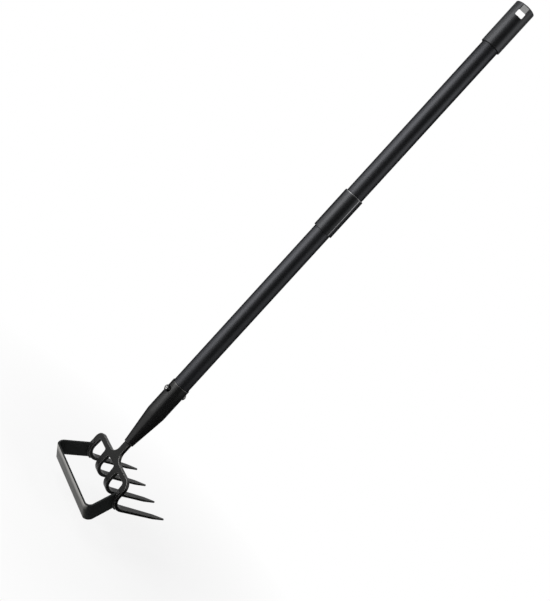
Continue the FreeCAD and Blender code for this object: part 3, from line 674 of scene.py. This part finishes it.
def makeBladeBeads():
    half = strip["thickness"] / 2 * math.sqrt(1 + stripFlare * stripFlare)
    radius = strip["bendOuter"]
    start = -math.asin(strip["nearRise"] / radius) - bead["armOverhang"] / radius
    stop = math.asin((strip["width"] - strip["nearRise"]) / radius) + bead["armOverhang"] / radius
    steps = bead["armSteps"]
    turns = [start + (stop - start) * index / steps for index in range(steps + 1)]
    runs = []
    for side in (1, -1):
        for face in (half, -half):
            across = side * (strip["outerTine"] + face)
            runs.append(([(radius * math.cos(turn), across, radius * math.sin(turn)) for turn in turns], False))
    makeBead("arm_weld_beads", runs, "blade_welds", "arm", stripPlace)


def makeNeckBead():
    radius, level = bead["neckRing"], bead["neckUp"]
    turns = [2 * math.pi * index / bead["neckSteps"] for index in range(bead["neckSteps"])]
    ring = [(radius * math.cos(turn), radius * math.sin(turn), level) for turn in turns]
    makeBead("neck_weld_bead", [(ring, True)], "neck_weld", "neck")


makeBlade()
makeBladeBeads()
makeNeckBead()
print("blade and welds made")

# The pieces that keep the frame's own shape, with joined faces, soft edges and their finish

kept = [
    # node, piece, body, slot, material, edge round, sharp angle
    ("end_cap", "hanging_end_cap", "upper_section", "handle_plastic", capPlastic, 0.0, 32.0),
    ("upper_tube", "upper_handle_tube", "upper_section", "tube_paint", tubePaint, 0.15 * mm, 32.0),
    ("threaded_plug", "joint_plug", "upper_section", "handle_plastic", capPlastic, 0.0, 32.0),
    ("joint_washer", "joint_ring", "washer", "washer_rubber", washerRubber, 0.15 * mm, 32.0),
    ("coupling", "joint_sleeve", "lower_section", "handle_plastic", sleevePlastic, 0.0, 32.0),
    ("lower_tube", "lower_handle_tube", "lower_section", "tube_paint", tubePaint, 0.0, 32.0),
    ("ferrule", "head_ferrule", "lower_section", "head_paint", ferrulePaint, 0.0, 32.0),
    ("ferrule_bolt", "cross_bolt", "lower_section", "bright_zinc", brightZinc, 0.0, 32.0),
    ("ferrule_nut", "cross_nut", "lower_section", "bright_zinc", dullShadedZinc, 0.35 * mm, 32.0),
    ("cultivator_fork", "tined_fork", "lower_section", "head_paint", headPaint, 0.0, 26.0),
]
for node, name, body, slotName, material, edge, angle in kept:
    mesh = mergedCopy(node, flatten=edge > 0)
    if edge:
        mesh = edgesRounded(mesh, edge)
    finishPiece(name, mesh, body, material, node, angle)
print("kept pieces dressed:", len(kept))

# Floor, lights and camera

stage = {
    "floorDrop": 25.0 * mm,  # the screwed joint lowers the head by 24 mm
    "floorSize": 60.0, "floorColour": (0.90, 0.90, 0.90), "liftNear": 0.80, "fadeFrom": 0.16, "fadeTo": 0.5,
    "world": 0.09, "aim": (0.0, 0.0, -0.32), "cardColour": (0.01, 0.01, 0.01), "cardSteps": 12,
}
floorLevel = cadBox[0][2] - stage["floorDrop"]

# Azimuths from and to in degrees, then the radius and height of the card's two arcs
cards = {
    "black_card": (-57.0, 3.0, (0.30, -0.872), (0.30, 0.6)),
    "low_black_card": (3.0, 75.0, (0.30, -0.872), (0.30, -0.705)),
    "front_floor_card": (-57.0, 3.0, (0.09, -0.873), (0.30, -0.873)),
    "side_floor_card": (3.0, 105.0, (0.12, -0.873), (0.42, -0.873)),
}
# Azimuth, elevation, distance, width, height and power
lamps = {
    "keyBox": (-97.0, 6.0, 0.8, 0.56, 1.2, 12.0),
    "faceBox": (-136.0, 2.0, 0.9, 0.42, 1.05, 3.6),
    "sideBox": (36.0, 16.0, 1.5, 0.9, 1.1, 6.4),
    "topBox": (-60.0, 72.0, 2.0, 1.0, 1.0, 3.0),
}


def seenStraight(tree):
    # Rays from the camera, and those that metal and glass send on
    path = addNode(tree, "ShaderNodeLightPath").outputs
    seen = calc(tree, "MAXIMUM", path["Is Camera Ray"], path["Is Glossy Ray"])
    return calc(tree, "MAXIMUM", seen, path["Is Transmission Ray"])


def makeFloor():
    half = stage["floorSize"] / 2
    corners = [(x * half, y * half, floorLevel) for x, y in ((-1, -1), (1, -1), (1, 1), (-1, 1))]
    mesh = bpy.data.meshes.new("paleFloor")
    mesh.from_pydata(corners, [], [(0, 1, 2, 3)])
    material = bpy.data.materials.new("paleFloor")
    tree = emptyTree(material)
    diffuse = addNode(tree, "ShaderNodeBsdfDiffuse", {"Color": (*stage["floorColour"], 1.0)})
    white = addNode(tree, "ShaderNodeEmission", {"Color": (1, 1, 1, 1), "Strength": 1.0})
    # White to the camera far from the tool, and near it with the tool's own shadow
    place = addNode(tree, "ShaderNodeTexCoord").outputs["Object"]
    away = vector(tree, "LENGTH", vector(tree, "MULTIPLY", place, (1, 1, 0)), output="Value")
    lift = spread(tree, away, stage["fadeFrom"], stage["fadeTo"], stage["liftNear"], 1.0)
    mix = addNode(tree, "ShaderNodeMixShader", {
        0: calc(tree, "MULTIPLY", seenStraight(tree), lift), 1: diffuse.outputs[0], 2: white.outputs[0],
    })
    addNode(tree, "ShaderNodeOutputMaterial", {"Surface": mix.outputs[0]})
    mesh.materials.append(material)
    linked("pale_floor", mesh)


def makeWorld():
    world = bpy.data.worlds.new("studio")
    bpy.context.scene.world = world
    tree = emptyTree(world)
    soft = addNode(tree, "ShaderNodeBackground", {"Color": (1, 1, 1, 1), "Strength": stage["world"]})
    white = addNode(tree, "ShaderNodeBackground", {"Color": (1, 1, 1, 1), "Strength": 1.0})
    mix = addNode(tree, "ShaderNodeMixShader", {0: seenStraight(tree), 1: soft.outputs[0], 2: white.outputs[0]})
    addNode(tree, "ShaderNodeOutputWorld", {"Surface": mix.outputs[0]})


def makeCard(name, azimuthFrom, azimuthTo, inner, outer):
    # A black card between two arcs around the handle, met by reflections alone
    steps = stage["cardSteps"]
    turns = [math.radians(azimuthFrom + (azimuthTo - azimuthFrom) * index / steps) for index in range(steps + 1)]
    points = [
        (radius * math.sin(turn), -radius * math.cos(turn), level)
        for turn in turns for radius, level in (inner, outer)
    ]
    mesh = bpy.data.meshes.new(name)
    mesh.from_pydata(points, [], [
        (2 * index, 2 * index + 2, 2 * index + 3, 2 * index + 1) for index in range(steps)
    ])
    card = linked(name, mesh)
    card.visible_camera = False
    card.visible_diffuse = False
    card.visible_transmission = False
    card.visible_shadow = False
    material = bpy.data.materials.new(name)
    tree = emptyTree(material)
    dark = addNode(tree, "ShaderNodeBsdfDiffuse", {"Color": (*stage["cardColour"], 1.0)})
    addNode(tree, "ShaderNodeOutputMaterial", {"Surface": dark.outputs[0]})
    mesh.materials.append(material)


def addLamp(name, azimuth, elevation, distance, width, height, power):
    # A soft box that faces the middle of the handle from an azimuth, counted as the camera's is
    turn, rise = math.radians(azimuth), math.radians(elevation)
    back = Vector((math.sin(turn) * math.cos(rise), -math.cos(turn) * math.cos(rise), math.sin(rise)))
    lamp = bpy.data.lights.new(name, "AREA")
    lamp.shape = "RECTANGLE"
    lamp.size = width
    lamp.size_y = height
    lamp.energy = power
    thing = linked(name, lamp)
    thing.location = Vector(stage["aim"]) + back * distance
    thing.rotation_euler = back.to_track_quat("Z", "Y").to_euler()


# The photo's camera: angles in degrees and places in metres. It looks at a point beside the handle's axis
view = {
    "azimuth": -41.61, "height": -0.34924, "distance": 1.23035, "aimHeight": -0.47883, "aimSide": 0.01573,
    "roll": 42.46, "focalPixels": 939.29, "framePixels": 601, "sensor": 36.0,
}


def makeCamera():
    turn, roll = math.radians(view["azimuth"]), math.radians(view["roll"])
    side = Vector((math.cos(turn), math.sin(turn), 0))
    position = Vector((math.sin(turn) * view["distance"], -math.cos(turn) * view["distance"], view["height"]))
    forward = (Vector((0, 0, view["aimHeight"])) + side * view["aimSide"] - position).normalized()
    right = forward.cross(Vector((0, 0, 1))).normalized()
    up = right.cross(forward)
    rolledRight = right * math.cos(roll) + up * math.sin(roll)
    rolledUp = up * math.cos(roll) - right * math.sin(roll)
    data = bpy.data.cameras.new("photoView")
    data.sensor_width = view["sensor"]
    data.lens = view["focalPixels"] * view["sensor"] / view["framePixels"]
    camera = linked("photoView", data)
    columns = Matrix((rolledRight, rolledUp, -forward)).transposed()
    camera.matrix_world = Matrix.Translation(position) @ columns.to_4x4()
    bpy.context.scene.camera = camera


makeFloor()
makeWorld()
for name, sizes in cards.items():
    makeCard(name, *sizes)
for name, sizes in lamps.items():
    addLamp(name, *sizes)
makeCamera()
bpy.context.scene.view_settings.view_transform = "Standard"
print("stage set")

bpy.context.view_layer.update()
